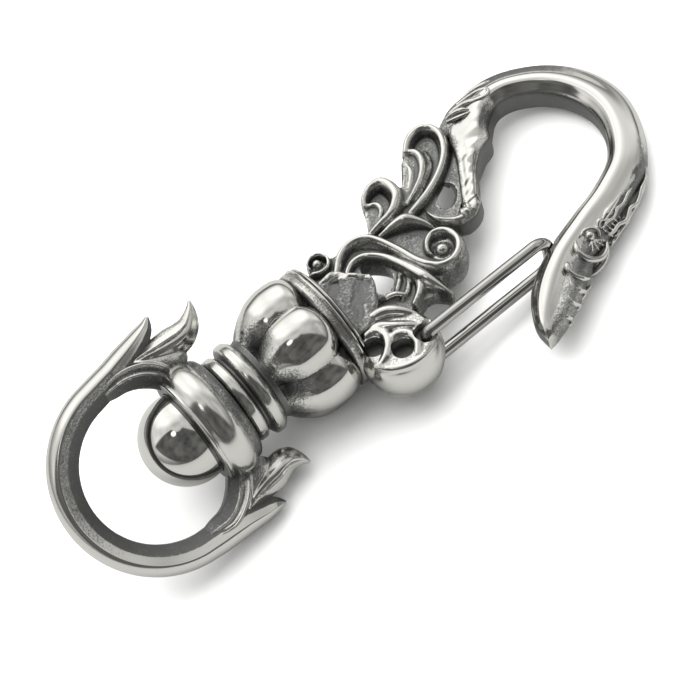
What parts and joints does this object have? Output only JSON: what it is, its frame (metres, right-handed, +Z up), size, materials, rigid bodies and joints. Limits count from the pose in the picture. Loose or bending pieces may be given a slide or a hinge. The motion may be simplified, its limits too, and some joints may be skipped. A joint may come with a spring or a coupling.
{
  "type": "carabiner clasp",
  "caption": "Cast snap-hook clasp with scrollwork, a lobed barrel, a swivelling leaf-ended hoop on a ball head and a sprung wire gate.",
  "frame": {"origin": "centre of the outline, on the table the clasp lies on", "axes": "+X towards the hook's end, along the table under the long axis; +Y towards the scrolls; +Z up. The long axis dips 7 degrees towards +X, and the hook's plane is turned 1.8 degrees about it, because the clasp rests on two lobes of its barrel and on its hook"},
  "size_m": [0.0877, 0.0367, 0.0209],
  "materials": {
    "hook_metal": "cast, polished on the raised parts, blackened in the recesses",
    "barrel_metal": "polished, blackened in the valleys",
    "ring_metal": "polished ridges, blackened grooves",
    "ball_metal": "mirror-polished",
    "hoop_metal": "polished, blackened between the leaves",
    "gate_wire": "bright spring wire"
  },
  "bodies": {
    "clasp": {"hook_casting": "hook_metal", "barrel": "barrel_metal", "neck_rings": "ring_metal", "ball_head": "ball_metal"},
    "hoop": {"swivel_hoop": "hoop_metal"},
    "gate": {"wire_gate": "gate_wire"}
  },
  "joints": [
    {"name": "hoop_swivel", "type": "hinge", "parent": "clasp", "child": "hoop", "pos_m": [-0.0232, 0.0037, 0.01071], "axis": [0.9925, 0, -0.1219], "continuous": true},
    {"name": "gate_hinge", "type": "hinge", "parent": "clasp", "child": "gate", "pos_m": [0.00277, -0.00779, 0.00715], "axis": [0.1218, -0.0314, 0.9921], "range_deg": [0, 20], "stiffness_Nm_per_rad": 0.1}
  ]
}
